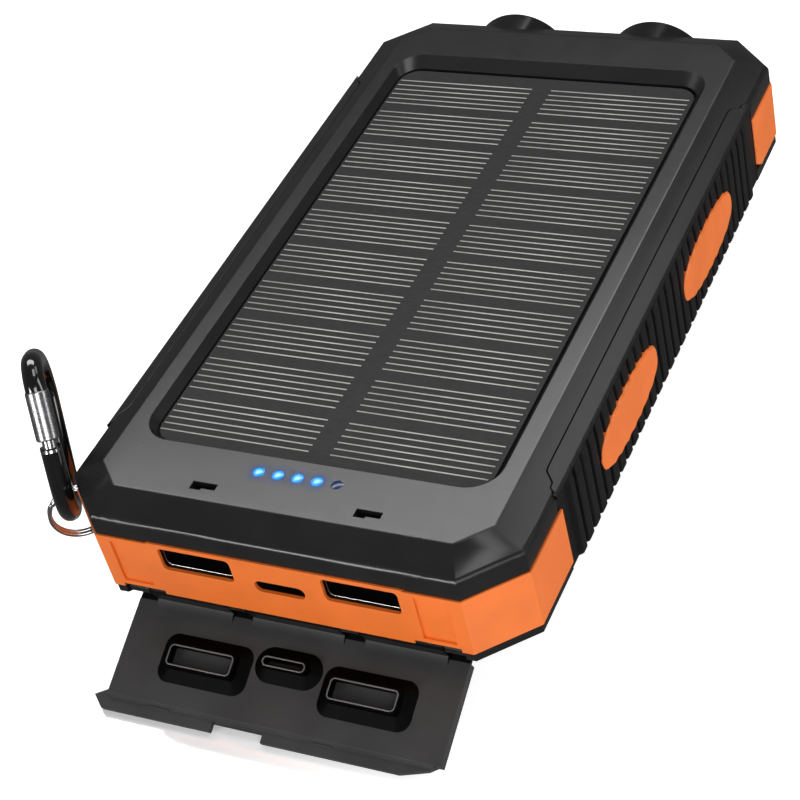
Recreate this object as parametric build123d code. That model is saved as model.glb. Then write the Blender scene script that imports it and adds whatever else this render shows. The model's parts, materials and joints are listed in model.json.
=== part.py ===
from build123d import *
import math
import os

# Rugged solar power bank.  Millimetres, +Z up.
# Origin: centre of the flat bottom face.  +X is to the right seen from the port end,
# -Y is the port end, +Y is the torch end.

# ---------------------------------------------------------------- driving dimensions
WIDTH = 79.0
LENGTH = 140.6
HEIGHT = 23.0
CORNER = 7.9            # leg of the 45 degree corner cut
BEVEL_IN = 5.4          # how far both bevels run inwards
TOP_DROP = 2.4
BOTTOM_RISE = 3.6
SKIN = 1.6              # thickness of the rubber grips and the bumpers
WALL = 3.4              # outside face to inside of the case wall
BAND_DROP = 6.05        # top face to the upper edge of the orange band
SPLIT_Z = HEIGHT - BAND_DROP
BAND_Z = 5.45           # top of the lower black band
PROUD = 0.3             # the bumpers stand this far out of the case
FIT = 0.15              # gap between fitted mouldings

FRONT = -LENGTH / 2
REAR = LENGTH / 2
SIDE = WIDTH / 2

# Solar window and panel
WINDOW_X = 31.2
WINDOW_Y0 = FRONT + 16.5
WINDOW_Y1 = FRONT + 126.2
PANEL_X = 29.6
PANEL_Y0 = FRONT + 17.7
PANEL_Y1 = FRONT + 122.7
PANEL_TOP = HEIGHT - 1.5
BOARD_T = 1.2
CELL_T = 0.25
FILM_T = 0.15
TAPE_T = 0.3
CELL_ROWS = 10
CELL_PITCH = 10.19
CELL_FIRST = FRONT + 19.45
CELL_LENGTH = 9.3
CELL_GAP_X = 1.4

# Ports, all on one row of the port end
PORT_X = (-14.0, 0.4, 14.8)
USB_Z = 14.0
USB_W = 12.9
USB_H = 4.7
MICRO_Z = 11.9
MICRO_W = 8.8
MICRO_H = 2.4
SHELL_T = 0.3
SHELL_DEPTH = 13.0

# Indicator lights and the two snap windows
LED_COUNT = 5
LED_PITCH = 3.42
LED_Y = FRONT + 12.96
LED_R = 1.0
SLOT_X = 14.3
SLOT_Y = FRONT + 8.2

# Bumpers, grips and their oval inlays
BUMPER_END = FRONT + 20.9
REAR_BUMPER_END = REAR - 19.7
GRIP_FRONT = FRONT + 19.9
GRIP_X = 36.8
RIB_PITCH = 3.12
RIB_PROUD = 0.45
RIB_GROOVE = 0.55
INLAY_LENGTH = 26.2
INLAY_HEIGHT = 9.4
INLAY_Y = 20.8
INLAY_Z = 11.8

# Torch heads
TORCH_X = 14.15
TORCH_Z = 11.5
TORCH_R = 10.3
TORCH_OUT = 3.1
TORCH_BACK = 61.6

# Port flap.  The flap is drawn closed and turned open about its pin.
HINGE_Y = FRONT + 1.67
HINGE_Z = 4.0
FLAP_OPEN = 112.7
FLAP_HALF = 29.5
FLAP_T = 1.9
FLAP_IN = -2.87         # pin axis to the flap's inner face
FLAP_FOOT = 1.4         # pin axis to the flap's lower edge
FLAP_CREASE = 17.67     # pin axis to the crease before the lip
KNUCKLE_R = 1.1
PIN_R = 0.5
PIN_HOLE_R = 0.55

# Lanyard pin, split ring and carabiner
RING_R = 4.85
RING_WIRE = 0.42
RING_X = -41.5
RING_Y = FRONT + 7.9
RING_Z = 11.8
RING_TURN = 38.7        # the ring's plane runs into the case at this angle to X
RING_HANG = 3.2         # ring centre to lanyard pin
LANYARD_X = RING_X + RING_HANG * math.cos(math.radians(RING_TURN))
LANYARD_Y = RING_Y + RING_HANG * math.sin(math.radians(RING_TURN))
LANYARD_R = 0.45
CLIP_WIRE = 1.75
CLIP_LENGTH = 25.4      # between the wire's centre lines
CLIP_HALF = 7.4
CLIP_FOOT_R = 6.3
CLIP_SHOULDER_R = 4.4
CLIP_HEADING = 118.0    # compass direction, from +X, that the clip leans to
CLIP_RISE = 59.2        # its slope up from level
CLIP_ROLL = 7.8         # its roll about its own length
CLIP_FOOT = (-42.19, FRONT + 7.21, 12.78)
GATE_LOW = 12.6
GATE_TOP = 20.6

# button, board and screws
BUTTON_Z = 11.8
BUTTON_TRAVEL = 0.4
BOARD_TOP = USB_Z - USB_H / 2 - 0.35
BOARD_Y0 = FRONT + WALL + 0.4
BOARD_Y1 = FRONT + 33.0
SCREW_XY = [(s * 33.1, y) for s in (-1, 1) for y in (-38.0, 8.0, 54.0)]


# ---------------------------------------------------------------- shape helpers
def octagon(inset):
    """Outline of the case, cut square to the walls and moved in by `inset`."""
    x = SIDE - inset
    y = REAR - inset
    c = CORNER - inset * (2 - math.sqrt(2))
    points = [(x, y - c), (x - c, y), (-x + c, y), (-x, y - c),
              (-x, -y + c), (-x + c, -y), (x - c, -y), (x, -y + c)]
    return make_face(Polyline(*points, close=True))


def prism(inset, z0, z1):
    return extrude(Pos(0, 0, z0) * octagon(inset), amount=z1 - z0)


def hull(inset):
    """The whole case outline with both bevels, every face moved in by `inset`."""
    top_angle = math.atan2(TOP_DROP, BEVEL_IN)
    low_angle = math.atan2(BOTTOM_RISE, BEVEL_IN)
    z_top = HEIGHT - inset
    z_up = HEIGHT - TOP_DROP - inset * math.tan((math.pi / 2 - top_angle) / 2)
    z_low = BOTTOM_RISE + inset * math.tan((math.pi / 2 - low_angle) / 2)
    top = octagon(BEVEL_IN + inset * math.tan(top_angle / 2))
    low = octagon(BEVEL_IN + inset * math.tan(low_angle / 2))
    belt = octagon(inset)
    body = extrude(Pos(0, 0, z_low) * belt, amount=z_up - z_low)
    body += loft([Pos(0, 0, z_up) * belt, Pos(0, 0, z_top) * top], ruled=True)
    body += loft([Pos(0, 0, inset) * low, Pos(0, 0, z_low) * belt], ruled=True)
    return body


def block(x0, x1, y0, y1, z0, z1):
    return Pos((x0 + x1) / 2, (y0 + y1) / 2, (z0 + z1) / 2) * Box(x1 - x0, y1 - y0, z1 - z0)


def rod(p, q, r):
    """A round bar from point p to point q."""
    a = Vector(*p)
    b = Vector(*q)
    plane = Plane(origin=a, z_dir=(b - a))
    return extrude(plane * Circle(r), amount=(b - a).length)


def rounded_slab(w, h, r, z0, z1, x=0.0, y=0.0):
    return extrude(Pos(x, y, z0) * RectangleRounded(w, h, r), amount=z1 - z0)


def mirror_x(shape):
    return mirror(shape, Plane.YZ)


def save(shape, name):
    solids = shape.solids() if hasattr(shape, "solids") else [shape]
    out = solids[0] if len(solids) == 1 else Compound(children=list(solids))
    out.label = name
    export_step(out, os.path.join("parts", name + ".step"))


# ---------------------------------------------------------------- regions of the skin
def grip_outline():
    """Plan of the right grip: its flange on the bevel has a small jog at both ends."""
    y = REAR - 19.9
    half = [(SIDE + 2, y), (SIDE - 0.1, y), (38.35, y - 1.1), (38.3, y - 2.1), (36.95, y - 3.6),
            (GRIP_X, y - 4.5)]
    other = [(x, -v) for x, v in reversed(half)]
    return make_face(Polyline(*half, *other, close=True))


def grip_region():
    """The space the right grip fills, from the top bevel to the bottom bevel."""
    plan = extrude(Pos(0, 0, -1) * grip_outline(), amount=HEIGHT + 2)
    front_stop = block(30, 50, FRONT, BUMPER_END + FIT, BAND_Z - 5, HEIGHT - 5.9)
    rear_stop = block(30, 50, REAR_BUMPER_END - FIT, REAR, BAND_Z - 5, HEIGHT - 5.9)
    return plan - front_stop - rear_stop


def bumper_band(inset, drop=0.0):
    """The belt that the orange bumpers lie in, deeper over the middle of both ends."""
    belt = prism(inset, BAND_Z + 0.75 + drop, HEIGHT - 6.05)
    corner = prism(inset, BAND_Z, HEIGHT - 6.05)
    foot = block(-22, 22, FRONT - 5, 0, BAND_Z, BAND_Z + 2)
    for s in (-1, 1):
        foot += block(s * 34 - 4.2, s * 34 + 4.2, FRONT - 5, REAR + 5, BAND_Z, BAND_Z + 2)
        foot += block(s * 40 - 6, s * 40 + 6, FRONT - 5, REAR + 5, BAND_Z, BAND_Z + 2)
    return belt + (corner & foot)


# ---------------------------------------------------------------- case
def window_cut():
    w0 = WINDOW_Y1 - WINDOW_Y0
    yc = (WINDOW_Y1 + WINDOW_Y0) / 2
    top = Pos(0, yc, HEIGHT) * RectangleRounded(2 * WINDOW_X, w0, 5.5)
    low_y0 = WINDOW_Y0 + 0.8
    low_y1 = WINDOW_Y1 - 2.6
    yp = (low_y0 + low_y1) / 2
    low = Pos(0, yp, PANEL_TOP) * RectangleRounded(2 * WINDOW_X - 2.4, low_y1 - low_y0, 4.4)
    slope = loft([low, top], ruled=True)
    pocket_z = PANEL_TOP - BOARD_T - CELL_T - FILM_T - TAPE_T
    pocket = rounded_slab(2 * WINDOW_X - 2.4, low_y1 - low_y0, 4.4, pocket_z, PANEL_TOP, 0, yp)
    through = rounded_slab(2 * WINDOW_X - 9, low_y1 - low_y0 - 7, 3, 15, pocket_z, 0, yp)
    return slope + pocket + through


def case_cavity():
    return hull(WALL) + prism(9, 2.2, HEIGHT - 2)


def torch_bores():
    cut = None
    for s in (-1, 1):
        bore = rod((s * TORCH_X, TORCH_BACK + 2, TORCH_Z), (s * TORCH_X, REAR + 6, TORCH_Z), TORCH_R + 0.02)
        cut = bore if cut is None else cut + bore
    return cut


def ring_plane():
    """Plane of the split ring: x runs into the case, y runs up, z is the ring's axis."""
    turn = math.radians(RING_TURN)
    inward = (math.cos(turn), math.sin(turn), 0)
    return Plane(origin=(RING_X, RING_Y, RING_Z), x_dir=inward, z_dir=(inward[1], -inward[0], 0))


def lanyard_pocket():
    """Narrow slot in the left wall, in the ring's own plane, with room for it to swing."""
    return ring_plane().location * (Pos(1.9, -0.4, 0) * Box(8, 11, 2.0))


def lanyard_pin():
    """Steel pin across the slot, held by the bumper and the wall at both ends."""
    return rod((LANYARD_X, RING_Y + 0.3, RING_Z), (LANYARD_X, RING_Y + 4.6, RING_Z), LANYARD_R)


def make_top_cover(skin):
    shell = hull(0)
    shell = fillet([e for e in shell.edges() if abs(e.center().Z - (HEIGHT - TOP_DROP)) < 0.01], 1.4)
    shell = fillet([e for e in shell.edges().filter_by(GeomType.LINE)
                    if abs(e.bounding_box().min.Z - HEIGHT) < 0.01], 1.2)
    cover = shell & block(-50, 50, -90, 90, SPLIT_Z, HEIGHT + 1)
    cover -= case_cavity()
    frame = block(-34.2, 34.2, WINDOW_Y0 - 1.2, WINDOW_Y1 + 2.6, HEIGHT - 4.4, HEIGHT - 1)
    cover += frame & prism(WALL - 0.2, 15, HEIGHT - 1)
    cover -= window_cut()
    for x, y in SCREW_XY:
        cover += Pos(x, y, (SPLIT_Z + HEIGHT - 2) / 2) * Cylinder(2.3, HEIGHT - 2 - SPLIT_Z)
        cover -= Pos(x, y, (SPLIT_Z + 20) / 2) * Cylinder(1.0, 20 - SPLIT_Z)
    for i in range(LED_COUNT):
        x = (i - (LED_COUNT - 1) / 2) * LED_PITCH
        cover -= Pos(x, LED_Y, HEIGHT - 1) * Cylinder(LED_R, 4)
    for s in (-1, 1):
        cover -= block(s * SLOT_X - 2.2, s * SLOT_X + 2.2, SLOT_Y - 0.5, SLOT_Y + 0.8, 20, 24)
        cover -= block(s * SLOT_X - 2.2, s * SLOT_X - 0.2, SLOT_Y - 0.9, SLOT_Y, 20, 24)
    cover -= skin
    cover -= torch_bores()
    cover -= block(-22.5, 22.5, FRONT - 1, FRONT + SKIN, SPLIT_Z - 1, SPLIT_Z + 0.3)
    return cover


def make_bottom_cover(skins, bands):
    cover = hull(0) & block(-50, 50, -90, 90, -1, SPLIT_Z)
    cover -= case_cavity()
    # wall behind the hinge channel, then the channel itself
    cover += block(-31, 31, FRONT + 3.2, FRONT + 6, 1.6, 8) & hull(1.2)
    cover -= block(-FLAP_HALF - 0.5, FLAP_HALF + 0.5, FRONT - 2, FRONT + 3.9, -1, BAND_Z + 0.1)
    for x, y in SCREW_XY:
        cover += Pos(x, y, (1.5 + SPLIT_Z) / 2) * Cylinder(2.3, SPLIT_Z - 1.5)
        cover -= Pos(x, y, 8) * Cylinder(1.1, 30)
        cover -= Pos(x, y, 0.9) * Cylinder(2.1, 2.2)
    # ears that hold the flap's pin
    for x0, x1 in ear_spans():
        ear = rod((x0, HINGE_Y, HINGE_Z), (x1, HINGE_Y, HINGE_Z), KNUCKLE_R)
        ear += block(x0, x1, HINGE_Y, FRONT + 4.2, HINGE_Z - KNUCKLE_R, HINGE_Z + KNUCKLE_R)
        ear -= rod((x0 - 1, HINGE_Y, HINGE_Z), (x1 + 1, HINGE_Y, HINGE_Z), PIN_R)
        cover += ear
    # window for the port plate
    cover -= block(-24.6, 24.6 + PORT_X[1], FRONT - 1, FRONT + WALL + 0.5, 8.4, SPLIT_Z + 0.1)
    # lanyard pocket with its own walls and the pin across it
    cup = block(-38.5, -33.9, RING_Y - 1.2, RING_Y + 8.2, 4.2, SPLIT_Z) & hull(SKIN)
    cover += cup
    for skin in skins:
        cover -= skin
    for band in bands:
        cover -= band
    cover -= lanyard_pocket() + lanyard_pin()
    cover -= torch_bores()
    # button window in the left wall
    cover -= block(-50, -33, -5.2, 5.2, BUTTON_Z - 2.7, BUTTON_Z + 2.7)
    return cover


def ear_spans():
    """Pin ears of the bottom cover: two outside and two inside the flap's knuckles."""
    return [(-29.8, -26.2), (-11.5, -8.5), (8.5, 11.5), (26.2, 29.8)]


def knuckle_spans():
    return [(-25.9, -11.8), (-8.2, 8.2), (11.8, 25.9)]


def make_front_bumper():
    outer = bumper_band(-PROUD)
    ring = outer - prism(SKIN, -1, 30)
    keep = block(-50, 50, FRONT - 5, BUMPER_END, 0, 30)
    bumper = ring & keep
    # raised top edge over the ports
    lip = block(-22.2, 22.2, FRONT - PROUD, FRONT + SKIN, SPLIT_Z - 0.2, SPLIT_Z + 0.25)
    bumper += lip
    for s in (-1, 1):
        x0 = s * 26.55
        bumper -= block(x0 - 2.75, x0 + 2.75, FRONT - 2, FRONT + 0.1, BAND_Z + 1.6, HEIGHT - 7.0)
    # thinned behind the ports, where the black port plate reaches forward
    bumper -= block(-22.6, 22.6 + PORT_X[1], FRONT + 0.3, FRONT + 3, 8.6, 16.9)
    for cut in port_holes(0.0, FRONT - 2, FRONT + 3):
        bumper -= cut
    bumper -= lanyard_pocket() + lanyard_pin()
    bumper -= block(-FLAP_HALF - 0.5, FLAP_HALF + 0.5, FRONT - 2, FRONT + 4, -1, BAND_Z - 0.01)
    return bumper


def port_holes(grow, y0, y1):
    """The three port openings as solids, to cut with."""
    out = []
    for x, z, w, h, r in ((PORT_X[0], USB_Z, USB_W, USB_H, 0.8), (PORT_X[2], USB_Z, USB_W, USB_H, 0.8),
                          (PORT_X[1], MICRO_Z, MICRO_W, MICRO_H, 1.15)):
        out.append(port_slab(x, z, w + 2 * grow, h + 2 * grow, r + grow, y0, y1))
    return out


def port_slab(x, z, w, h, r, y0, y1):
    plane = Plane(origin=(x, y0, z), x_dir=(1, 0, 0), z_dir=(0, 1, 0))
    return extrude(plane * RectangleRounded(w, h, min(r, h / 2 - 0.01)), amount=y1 - y0)


def make_port_plate():
    """Black insert behind the bumper; it carries the port openings inwards."""
    plate = block(-22.4, 22.4 + PORT_X[1], FRONT + 0.3, FRONT + WALL, 8.7, 16.8)
    plate += block(-24.4, 24.4 + PORT_X[1], FRONT + SKIN, FRONT + WALL, 8.5, SPLIT_Z)
    for cut in port_holes(0.0, FRONT - 2, FRONT + 6):
        plate -= cut
    return plate


def make_rear_corner():
    ring = bumper_band(-PROUD) - prism(SKIN, -1, 30)
    corner = ring & block(TORCH_X + 2, 50, REAR_BUMPER_END, REAR + 5, 0, 30)
    corner -= rod((TORCH_X, REAR - 20, TORCH_Z), (TORCH_X, REAR + 6, TORCH_Z), TORCH_R + 0.4)
    # the lower front corner is cut at a slant
    wedge = Polyline((REAR_BUMPER_END - 1, BAND_Z + 2.3), (REAR_BUMPER_END + 3.6, BAND_Z - 1),
                     (REAR_BUMPER_END - 1, BAND_Z - 1), close=True)
    cut = extrude(Plane(origin=(30, 0, 0), x_dir=(0, 1, 0), z_dir=(1, 0, 0)) * make_face(wedge), amount=20)
    return corner - cut


# ---------------------------------------------------------------- grips
def inlay_outline(grow):
    """Long oval whose upper and lower edges wave with the ribs."""
    a = INLAY_LENGTH / 2 + grow
    b = INLAY_HEIGHT / 2 + grow
    count = 64
    points = []
    for i in range(count):
        t = 2 * math.pi * i / count
        y = a * math.copysign(abs(math.cos(t)) ** 0.9, math.cos(t))
        z = b * math.copysign(abs(math.sin(t)) ** 0.72, math.sin(t))
        z += 0.16 * math.sin(t) * math.cos(2 * math.pi * y / RIB_PITCH)
        points.append((y, z))
    return make_face(Spline(*points, periodic=True))


def inlay_solid(y, grow, x0, x1):
    plane = Plane(origin=(x0, y, INLAY_Z), x_dir=(0, 1, 0), z_dir=(1, 0, 0))
    return extrude(plane * inlay_outline(grow), amount=x1 - x0)


def make_grip():
    """Right grip: a rubber skin with upright ribs, open where the inlays sit."""
    region = grip_region()
    skin = (hull(0) - hull(SKIN)) & region
    ribs_zone = block(30, 50, GRIP_FRONT + 3.2, -GRIP_FRONT - 3.2, 2.6, HEIGHT - TOP_DROP - 0.4)
    raised = ((hull(-RIB_PROUD) - hull(SKIN)) & ribs_zone) & region
    grip = skin + raised
    count = int((-GRIP_FRONT - 4.0) // RIB_PITCH)
    for i in range(-count, count + 1):
        y = i * RIB_PITCH
        grip -= block(SIDE - 0.6, 50, y - RIB_GROOVE / 2, y + RIB_GROOVE / 2, 1.0, HEIGHT - TOP_DROP - 0.8)
    for y in (-INLAY_Y, INLAY_Y):
        grip -= inlay_solid(y, 0.05, 30, 50)
    return grip


def make_inlay(y):
    """Orange oval seated in the right grip, slightly proud of the ribs."""
    pad = inlay_solid(y, 0.0, SIDE - SKIN, SIDE + RIB_PROUD + 0.35)
    edges = [e for e in pad.edges() if e.center().X > SIDE + RIB_PROUD]
    pad = chamfer(edges, 0.3)
    return pad


# ---------------------------------------------------------------- button
def make_power_button():
    cap = port_slab_x(-SIDE - 0.9, -SIDE + 0.6, 9.0, 4.4, 2.0)
    cap += port_slab_x(-SIDE + 0.6, -SIDE + 1.6, 10.0, 5.0, 2.2)
    cap += port_slab_x(-SIDE + 1.6, -SIDE + 3.3, 2.4, 2.0, 0.9)
    return cap


def port_slab_x(x0, x1, w, h, r):
    plane = Plane(origin=(x0, 0, BUTTON_Z), x_dir=(0, 1, 0), z_dir=(1, 0, 0))
    return extrude(plane * RectangleRounded(w, h, min(r, h / 2 - 0.01)), amount=x1 - x0)


def make_switch():
    """Tact switch on its little board: can, plunger and board."""
    x = -SIDE + 3.3 + BUTTON_TRAVEL
    plunger = rod((x - 0.4, 0, BUTTON_Z), (x + 0.9, 0, BUTTON_Z), 1.2)
    can = block(x + 0.1, x + 2.0, -3, 3, BUTTON_Z - 2.2, BUTTON_Z + 2.2)
    can -= rod((x - 1, 0, BUTTON_Z), (x + 1.35, 0, BUTTON_Z), 1.25)
    board = block(x + 2.0, x + 3.0, -5.2, 5.2, 7.6, 16.4)
    return can, plunger, board


# ---------------------------------------------------------------- solar panel
def make_solar():
    yc = (PANEL_Y0 + PANEL_Y1) / 2
    length = PANEL_Y1 - PANEL_Y0
    z = PANEL_TOP - FILM_T - CELL_T - BOARD_T
    board = rounded_slab(2 * PANEL_X, length, 3.9, z, z + BOARD_T, 0, yc)
    cells = []
    for row in range(CELL_ROWS):
        y = CELL_FIRST + row * CELL_PITCH
        for s in (-1, 1):
            x0 = s * CELL_GAP_X
            x1 = s * (PANEL_X - 0.25)
            cell = block(min(x0, x1), max(x0, x1), y, y + CELL_LENGTH, z + BOARD_T, z + BOARD_T + CELL_T)
            cells.append(cell & rounded_slab(2 * PANEL_X - 0.4, length - 0.4, 3.7, 0, 30, 0, yc))
    film = rounded_slab(2 * PANEL_X, length, 3.9, PANEL_TOP - FILM_T, PANEL_TOP, 0, yc)
    tape = rounded_slab(2 * PANEL_X, length, 3.9, z - TAPE_T, z, 0, yc)
    tape -= rounded_slab(2 * PANEL_X - 6, length - 6, 3, z - 2, z + 1, 0, yc)
    return board, Compound(children=cells), film, tape


# ---------------------------------------------------------------- electronics
def make_usb_a(x):
    y0 = FRONT + WALL + 0.05
    y1 = y0 + SHELL_DEPTH
    shell = port_slab(x, USB_Z, USB_W + 2 * SHELL_T, USB_H + 2 * SHELL_T, 0.7, y0, y1)
    shell -= port_slab(x, USB_Z, USB_W, USB_H, 0.5, y0 - 1, y1 - SHELL_T)
    tongue = block(x - 5.6, x + 5.6, y0 + 1.2, y1 - SHELL_T, USB_Z + 0.3, USB_Z + 2.1)
    tongue += port_slab(x, USB_Z, USB_W, USB_H, 0.5, y1 - 3, y1 - SHELL_T)
    for i in range(4):
        cx = x + (i - 1.5) * 2.4
        tongue += block(cx - 0.5, cx + 0.5, y0 + 1.8, y0 + 9.0, USB_Z + 0.1, USB_Z + 0.3)
    return shell, tongue


def make_micro():
    x = PORT_X[1]
    y0 = FRONT + WALL + 0.05
    y1 = y0 + 7.3
    z = MICRO_Z
    shell = port_slab(x, z, MICRO_W + 0.6, MICRO_H + 0.6, 1.45, y0, y1)
    shell -= port_slab(x, z, MICRO_W, MICRO_H, 1.15, y0 - 1, y1 - 0.3)
    tongue = block(x - 3.3, x + 3.3, y0 + 1.0, y1 - 0.3, z - 0.35, z + 0.35)
    tongue += port_slab(x, z, MICRO_W - 0.2, MICRO_H - 0.2, 1.05, y1 - 1.6, y1 - 0.3)
    return shell, tongue


def make_main_board():
    board = block(-33, 33, BOARD_Y0, BOARD_Y1, BOARD_TOP - 1.6, BOARD_TOP)
    x = PORT_X[1]
    board -= block(x - 5.2, x + 5.2, BOARD_Y0 - 1, FRONT + WALL + 8.0, BOARD_TOP - 3, BOARD_TOP + 1)
    board -= block(-34, -31, BOARD_Y0 - 1, RING_Y + 9, 0, 30)
    for x, y in SCREW_XY:
        board -= Pos(x, y, BOARD_TOP) * Cylinder(2.6, 8)
    for s in (-1, 1):
        board -= block(s * 31 - 3, s * 31 + 3, BOARD_Y0 - 1, FRONT + 8.5, 0, 30)
    return board


def make_chips():
    z = BOARD_TOP
    chips = []
    sizes = ((-10, 26, 5, 5, 1.0), (4, 27, 4, 4, 0.9), (14, 26.5, 5, 4, 1.2))
    for x, from_front, w, d, h in sizes:
        y = FRONT + from_front
        chips.append(block(x - w / 2, x + w / 2, y - d / 2, y + d / 2, z, z + h))
    return Compound(children=chips)


def make_capacitors():
    z = BOARD_TOP
    caps = []
    for i in range(6):
        x = -26 + i * 2.4
        caps.append(block(x - 0.8, x + 0.8, FRONT + 22.4, FRONT + 25, z, z + 1.3))
    for i in range(4):
        caps.append(block(21 + i * 2.6, 22.8 + i * 2.6, FRONT + 22.0, FRONT + 25, z, z + 1.3))
    return Compound(children=caps)


def make_light_guide():
    """Five clear pegs on one bar; each peg fills a hole of the top cover."""
    z0 = HEIGHT - 3.6
    span = (LED_COUNT - 1) * LED_PITCH
    guide = block(-span / 2 - 1.3, span / 2 + 1.3, LED_Y - 1.3, LED_Y + 1.3, z0, HEIGHT - 2.0)
    leds = []
    for i in range(LED_COUNT):
        x = (i - (LED_COUNT - 1) / 2) * LED_PITCH
        guide += Pos(x, LED_Y, (z0 + HEIGHT) / 2) * Cylinder(LED_R, HEIGHT - z0)
        leds.append(block(x - 0.8, x + 0.8, LED_Y - 0.6, LED_Y + 0.6, z0 - 0.7, z0))
    board = block(-span / 2 - 2.5, span / 2 + 2.5, LED_Y - 2.2, LED_Y + 2.2, z0 - 1.3, z0 - 0.7)
    return guide, Compound(children=leds), board


def make_batteries():
    cells = []
    for z0 in (2.5, 9.0):
        cell = block(-30, 30, FRONT + 35, 57, z0, z0 + 6.0)
        cell = fillet(cell.edges().filter_by(Axis.Y), 1.6)
        cells.append(cell)
    pad = block(-26, 26, FRONT + 40, 52, 8.5, 9.0)
    return cells[0], cells[1], pad


def make_leads():
    """Red and black leads from the cells' tabs up to the board."""
    leads = []
    for x in (-20.0, -16.5):
        z = BOARD_TOP - 1.6 - 0.75
        leads.append(rod((x, FRONT + 25, z), (x, FRONT + 34.9, z), 0.7))
    return Compound(children=leads)


# ---------------------------------------------------------------- torch
def make_torch(s):
    x = s * TORCH_X
    z = TORCH_Z
    outer = REAR + TORCH_OUT

    def turn(points):
        face = make_face(Polyline(*points, close=True))
        plane = Plane(origin=(x, 0, z), x_dir=(1, 0, 0), z_dir=(0, 0, 1))
        return revolve(plane * face, Axis((x, 0, z), (0, 1, 0)), 360)

    bezel = turn([(8.75, TORCH_BACK + 2.2), (TORCH_R, TORCH_BACK + 2.2), (TORCH_R, outer - 0.5),
                  (TORCH_R - 0.4, outer), (TORCH_R - 1.0, outer), (8.75, outer - 1.1)])
    reflector = turn([(2.2, TORCH_BACK + 1.2), (3.2, TORCH_BACK + 1.2), (8.7, outer - 4.6),
                      (8.7, outer - 3.6), (8.2, outer - 3.6), (2.2, TORCH_BACK + 2.0)])
    seal = turn([(7.7, outer - 3.6), (8.7, outer - 3.6), (8.7, outer - 2.9), (7.7, outer - 2.9)])
    lens = turn([(0, outer - 2.9), (8.7, outer - 2.9), (8.7, outer - 1.3), (0, outer - 1.3)])
    return bezel, reflector, seal, lens


def make_torch_board():
    board = block(-24, 24, TORCH_BACK - 1.2, TORCH_BACK, 4.5, 18.4)
    leds = []
    for s in (-1, 1):
        x = s * TORCH_X
        leds.append(block(x - 1.5, x + 1.5, TORCH_BACK, TORCH_BACK + 1.6, TORCH_Z - 1.5, TORCH_Z + 1.5))
    return board, Compound(children=leds)


# ---------------------------------------------------------------- fasteners
def make_screws():
    screws = []
    for x, y in SCREW_XY:
        head = Pos(x, y, 1.4) * Cylinder(1.9, 1.2)
        shank = Pos(x, y, 10.5) * Cylinder(1.0, 17.0)
        screw = head + shank
        for turn in (0, 90):
            screw -= Pos(x, y, 1.0) * Rot(0, 0, turn) * Box(2.2, 0.5, 0.9)
        screws.append(screw)
    return Compound(children=screws)


# ---------------------------------------------------------------- flap
def open_flap(shape):
    """Turn a shape drawn closed to the open pose about the hinge pin."""
    axis = Axis((0, HINGE_Y, HINGE_Z), (1, 0, 0))
    return shape.rotate(axis, FLAP_OPEN)


def flap_block(x0, x1, s0, s1, n0, n1):
    """Box of the closed flap: s runs up from the pin, n runs from the pin into the case."""
    return block(x0, x1, HINGE_Y + n0, HINGE_Y + n1, HINGE_Z + s0, HINGE_Z + s1)


def flap_plan(points, n0, n1):
    """Sweep an outline drawn in x and s through the flap's thickness."""
    plane = Plane(origin=(0, HINGE_Y + n0, HINGE_Z), x_dir=(1, 0, 0), z_dir=(0, -1, 0))
    face = make_face(Polyline(*[(x, s) for x, s in points], close=True))
    return extrude(plane * face, amount=n0 - n1)


def make_flap():
    n_in = FLAP_IN
    n_out = FLAP_IN - FLAP_T
    n_lip = FLAP_IN - 0.9
    half = FLAP_HALF
    flap = flap_block(-half, half, FLAP_FOOT, FLAP_CREASE, n_out, n_in)
    # the lip: wider at the left end, cut away at the right end, stepped down from the inner face
    lip = [(-half, FLAP_CREASE - 1), (-half - 2.7, FLAP_CREASE + 0.55), (-half - 0.7, FLAP_CREASE + 2.5),
           (22.8, FLAP_CREASE + 2.3), (half - 2.1, FLAP_CREASE + 0.9), (half, FLAP_CREASE - 0.6)]
    flap += flap_plan(lip, n_lip, n_out)
    # sloped wall between the inner face and the lip
    wall = [(FLAP_CREASE - 0.3, n_in), (FLAP_CREASE, n_in), (FLAP_CREASE + 0.5, n_lip),
            (FLAP_CREASE - 0.3, n_lip)]
    side = Plane(origin=(-half, HINGE_Y, HINGE_Z), x_dir=(0, 1, 0), z_dir=(1, 0, 0))
    flap += extrude(side * make_face(Polyline(*[(n, s) for s, n in wall], close=True)), amount=2 * half - 1.2)
    # finger notch in the lip
    flap -= flap_block(-10.1, -1.0, FLAP_CREASE + 1.0, FLAP_CREASE + 3, n_out - 1, n_in + 1)
    flap -= flap_block(-10.1, -1.0, FLAP_CREASE + 0.7, FLAP_CREASE + 3, n_lip - 0.5, n_in + 1)
    # two low latch ticks on the lip
    for x in (-20.0, 9.4):
        flap += flap_block(x - 1.8, x + 1.8, FLAP_CREASE + 0.45, FLAP_CREASE + 0.8, n_lip, n_lip + 0.22)
    # hinge knuckles and the arms that carry them
    for x0, x1 in knuckle_spans():
        arm = [(-KNUCKLE_R, 0), (KNUCKLE_R, 0), (KNUCKLE_R, -2.3), (2.6, n_in), (2.6, n_in - 1.2),
               (0.2, n_in - 1.2), (-KNUCKLE_R, -1.4)]
        side = Plane(origin=(x0, HINGE_Y, HINGE_Z), x_dir=(0, 1, 0), z_dir=(1, 0, 0))
        flap += extrude(side * make_face(Polyline(*[(n, s) for s, n in arm], close=True)), amount=x1 - x0)
        flap += rod((x0, HINGE_Y, HINGE_Z), (x1, HINGE_Y, HINGE_Z), KNUCKLE_R)
        flap -= rod((x0 - 1, HINGE_Y, HINGE_Z), (x1 + 1, HINGE_Y, HINGE_Z), PIN_HOLE_R)
    return open_flap(flap)


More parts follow.
